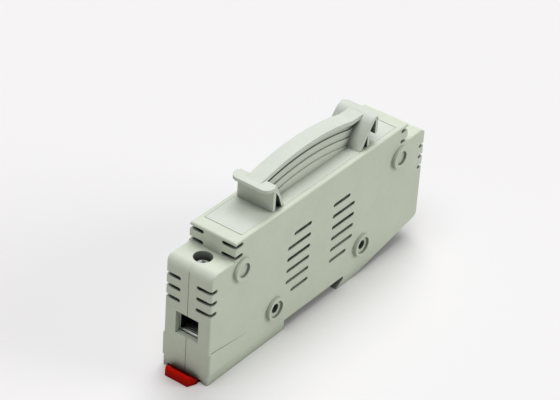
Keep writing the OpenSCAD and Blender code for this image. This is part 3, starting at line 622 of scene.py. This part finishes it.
def screw_rings(settings, low, high, radius, head_low, head_radius):
    """Rings of a terminal screw about its own axis: tip, thread, neck, head and recess.

    On the shank the radius is the thread's radius less depth * (steep * wave - flat), where the bracket
    stays from 0 to 1. The wave is the triangle wave of z / pitch - angle / turn, and the tip tapers
    besides. The head's top is a dome, 1 - (r / radius)^2 high, and falls by the deeper of slot and
    cross, each with soft walls."""
    columns, rows_a_turn, recess_rows = 144, 14, 46
    steep, flat = 1.25, 0.12
    angle = np.arange(columns) / columns * TURN
    z = np.arange(low + THREAD_FROM_TIP, head_low - THREAD_FROM_HEAD, settings.pitch / rows_a_turn)
    wave = np.abs(((z[:, None] / settings.pitch - angle / TURN) % 1) * 2 - 1)
    groove = settings.thread * np.clip(steep * wave - flat, 0, 1)
    fade = smooth_step(0, TIP_LENGTH, z - low)[:, None]
    shank = radius - groove - (1 - fade) * TIP_TAPER
    height = np.repeat(z[:, None], columns, 1)
    tip = [(0, low), (radius - 1.1 * MM, low), (radius - 0.8 * MM, low + 0.1 * MM)]
    shoulder = high - HEAD_DOME
    lower = arc(head_radius - HEAD_CORNER, head_low + HEAD_CORNER, HEAD_CORNER, start=-60, end=0, n=4)
    upper = arc(head_radius - HEAD_BEVEL, shoulder - HEAD_BEVEL, HEAD_BEVEL, start=0, end=75, n=8)
    neck = [(radius - NECK_DEPTH, head_low - NECK_LENGTH), (radius - NECK_DEPTH, head_low)]
    side = [*neck, (head_radius - HEAD_CORNER, head_low), *lower, *upper]
    rings = level_rings(angle, tip)
    rings += list(np.stack([shank * np.cos(angle), shank * np.sin(angle), height], axis=-1))
    rings += level_rings(angle, side)
    half_slot, half_cross = settings.slot / 2, settings.cross / 2
    for r in np.linspace(head_radius - HEAD_BEVEL, 0, recess_rows):
        x, y = np.abs(r * np.cos(angle - settings.turn)), np.abs(r * np.sin(angle - settings.turn))
        slot = SLOT_DEPTH * (1 - smooth_step(half_slot - RECESS_SOFT, half_slot + RECESS_SOFT, y))
        arms = np.minimum(
            1 - smooth_step(half_cross - RECESS_SOFT, half_cross + RECESS_SOFT, np.minimum(x, y)),
            1 - smooth_step(CROSS_REACH - CROSS_FADE, CROSS_REACH, np.maximum(x, y)))
        dome = HEAD_DOME * (1 - (r / head_radius) ** 2)
        top = shoulder + dome - np.maximum(slot, CROSS_DEPTH * arms)
        rings.append(np.stack([r * np.cos(angle), r * np.sin(angle), top], axis=-1))
    return np.stack(rings)


class FUSE_OT_screws(bpy.types.Operator):
    """Makes the two threaded terminal screws with their combined recess"""

    bl_idname = "fuse.screws"
    bl_label = "Terminal screws"

    def execute(self, context):
        for end in ENDS:
            low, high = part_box(f"screw_{end}")
            rings = screw_rings(context.scene.fuse_screws, low.z, high.z, THREAD_RADIUS,
                                high.z - HEAD_HEIGHT, (high.x - low.x) / 2)
            rings[..., 0] += (low.x + high.x) / 2
            rings[..., 1] += (low.y + high.y) / 2
            screw = shell_of_rings(f"threaded_screw_{end}", rings)
            dressed(screw, f"{end}_screw", "bright_zinc", f"screw_{end}")
        return {"FINISHED"}


class FUSE_OT_ridges(bpy.types.Operator):
    """Makes the ridged floor of the two wire cages"""

    bl_idname = "fuse.ridges"
    bl_label = "Cage ridges"

    def execute(self, context):
        s = context.scene.fuse_cages
        end_margin, side_margin = 0.25 * MM, 0.35 * MM
        end_fade, side_fade = 0.3 * MM, 0.5 * MM
        proud, sunk = 0.01 * MM, 0.2 * MM
        foot, crest = 0.1, 0.9
        rows, columns = 170, 25
        for end in ENDS:
            low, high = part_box(f"cage_{end}")
            inner = high.y - CAGE_WALL
            floor = low.z + CAGE_FLOOR
            x = np.linspace(low.x + end_margin, high.x - end_margin, rows)
            y = np.linspace(-inner + side_margin, inner - side_margin, columns)
            gx, gy = np.meshgrid(x, y, indexing="ij")
            wave = 1 - np.abs(((gx - low.x) / s.pitch % 1) * 2 - 1)
            ends = smooth_step(0, side_fade, gy - y[0]) * smooth_step(0, side_fade, y[-1] - gy)
            ends *= smooth_step(0, end_fade, gx - x[0]) * smooth_step(0, end_fade, x[-1] - gx)
            top = floor + proud + s.rise * smooth_step(foot, crest, wave) * ends
            plate = ridged_plate(f"cage_ridges_{end}", x, y, top, floor - sunk)
            dressed(plate, f"{end}_cage", "zinc_plate")
        return {"FINISHED"}


def cap_profile(s, inner_x, outer_x, radius, bore):
    """Half section of a fuse cap as (x, radius): end face, rounded edge, grooved wall, lip and inside.

    A groove lowers the wall by crimp * exp(-(distance / width)^2)."""
    wall_rows, edge_rows = 90, 10
    x = np.linspace(outer_x - s.corner, inner_x + CAP_LIP, wall_rows)
    r = np.full_like(x, radius)
    for place in GROOVES:
        r -= s.crimp * np.exp(-(((x - inner_x - place) / GROOVE_WIDTH) ** 2))
    face = [(outer_x, 0), (outer_x, radius / 2)]
    edge = arc(outer_x - s.corner, radius - s.corner, s.corner, start=90, end=0, n=edge_rows)[::-1]
    wall = np.stack([x, r], axis=-1)[1:]
    floor = outer_x - CAP_WALL
    lip_and_inside = [(inner_x, radius - LIP_DROP), (inner_x, bore), (floor, bore), (floor, 0)]
    return np.vstack([face, edge, wall, lip_and_inside])


class FUSE_OT_caps(bpy.types.Operator):
    """Makes the two crimped caps of the fuse link"""

    bl_idname = "fuse.caps"
    bl_label = "Fuse link caps"

    def execute(self, context):
        s = context.scene.fuse_link
        columns = 128
        angle = np.arange(columns) / columns * TURN
        tube_low, tube_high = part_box("fuse_tube")
        bore = (tube_high.z - tube_low.z) / 2 + CAP_PLAY
        for end in ENDS:
            low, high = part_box(f"fuse_cap_{end}")
            radius = (high.z - low.z) / 2
            inner, outer = (high.x, low.x) if end == "front" else (low.x, high.x)
            way = 1 if outer > inner else -1
            p = cap_profile(s, inner * way, outer * way, radius, bore)
            rings = np.stack([
                np.repeat(p[:, :1] * way, columns, 1),
                p[:, 1:] * np.cos(angle) + (low.y + high.y) / 2,
                p[:, 1:] * np.sin(angle) + (low.z + high.z) / 2], axis=-1)
            cap = shell_of_rings(f"crimped_cap_{end}", rings)
            dressed(cap, "carrier", "nickel_plate", f"fuse_cap_{end}")
        return {"FINISHED"}


def even_sky(settings):
    """World of even light, which the camera sees in the floor's colour."""
    world = bpy.data.worlds.new("even_sky")
    world.use_nodes = True
    world.node_tree.nodes.clear()
    w = Wires(world.node_tree)
    lit = w.add("ShaderNodeBackground", {"Color": (*WHITE, 1), "Strength": settings.sky})
    seen = w.add("ShaderNodeBackground", {"Color": (*settings.floor, 1), "Strength": 1.0})
    mix = w.add("ShaderNodeMixShader", {0: w.seen_rays(), 1: lit.outputs[0], 2: seen.outputs[0]})
    w.add("ShaderNodeOutputWorld", {"Surface": mix.outputs[0]})
    return world


class FUSE_OT_stage(bpy.types.Operator):
    """Sets up the floor, the soft light and the camera"""

    bl_idname = "fuse.stage"
    bl_label = "Stage"

    def execute(self, context):
        scene = context.scene
        s = scene.fuse_stage
        floor = bpy.data.objects.new("floor", bpy.data.meshes.new("floor"))
        corners = [(x * FLOOR_REACH, y * FLOOR_REACH, cad_low.z)
                   for x, y in ((-1, -1), (1, -1), (1, 1), (-1, 1))]
        floor.data.from_pydata(corners, [], [(0, 1, 2, 3)])
        floor.data.materials.append(floor_material(s))
        scene.collection.objects.link(floor)
        scene.world = even_sky(s)

        # Name, strength, colour, then degrees: turn about Z, height over the horizon, apparent width.
        lamps = (
            ("key_lamp", s.key, s.tint, 120, 61, 36),
            ("side_lamp", s.side, WHITE, 35, 22, 34),
            ("end_lamp", s.end, s.tint, -90, 76, 40),
        )
        for name, strength, tint, turn, height, spread in lamps:
            lamp = bpy.data.lights.new(name, "SUN")
            lamp.energy = strength
            lamp.color = tint
            lamp.angle = math.radians(spread)
            holder = bpy.data.objects.new(name, lamp)
            holder.rotation_euler = (math.radians(90 - height), 0, math.radians(turn))
            scene.collection.objects.link(holder)

        camera = bpy.data.objects.new("camera", bpy.data.cameras.new("camera"))
        camera.data.sensor_width = SENSOR
        camera.data.lens = s.lens
        camera.data.clip_start, camera.data.clip_end = 0.01, 20
        camera.location = CAMERA_PLACE
        camera.rotation_euler = [math.radians(a) for a in CAMERA_TURN]
        scene.collection.objects.link(camera)
        scene.camera = camera
        scene.view_settings.view_transform = "Standard"
        return {"FINISHED"}


STEPS = (FUSE_OT_finishes, FUSE_OT_screws, FUSE_OT_ridges, FUSE_OT_caps, FUSE_OT_stage)


class FUSE_PT_panel(bpy.types.Panel):
    """Lists the steps and their settings"""

    bl_idname = "FUSE_PT_panel"
    bl_label = "Fuse holder"
    bl_space_type = "VIEW_3D"
    bl_region_type = "UI"
    bl_category = "Fuse holder"

    def draw(self, context):
        for step in STEPS:
            self.layout.operator(step.bl_idname)
        for name, kind in GROUPS:
            box = self.layout.box()
            for key in kind.__annotations__:
                box.prop(getattr(context.scene, name), key)


def register():
    for name, kind in GROUPS:
        bpy.utils.register_class(kind)
        setattr(bpy.types.Scene, name, bpy.props.PointerProperty(type=kind))
    for kind in (*STEPS, FUSE_PT_panel):
        bpy.utils.register_class(kind)


def unregister():
    for kind in (FUSE_PT_panel, *reversed(STEPS)):
        bpy.utils.unregister_class(kind)
    for name, kind in reversed(GROUPS):
        delattr(bpy.types.Scene, name)
        bpy.utils.unregister_class(kind)


def main():
    register()
    bpy.ops.fuse.finishes()
    bpy.ops.fuse.screws()
    bpy.ops.fuse.ridges()
    bpy.ops.fuse.caps()
    bpy.ops.fuse.stage()


if __name__ == "__main__":
    main()
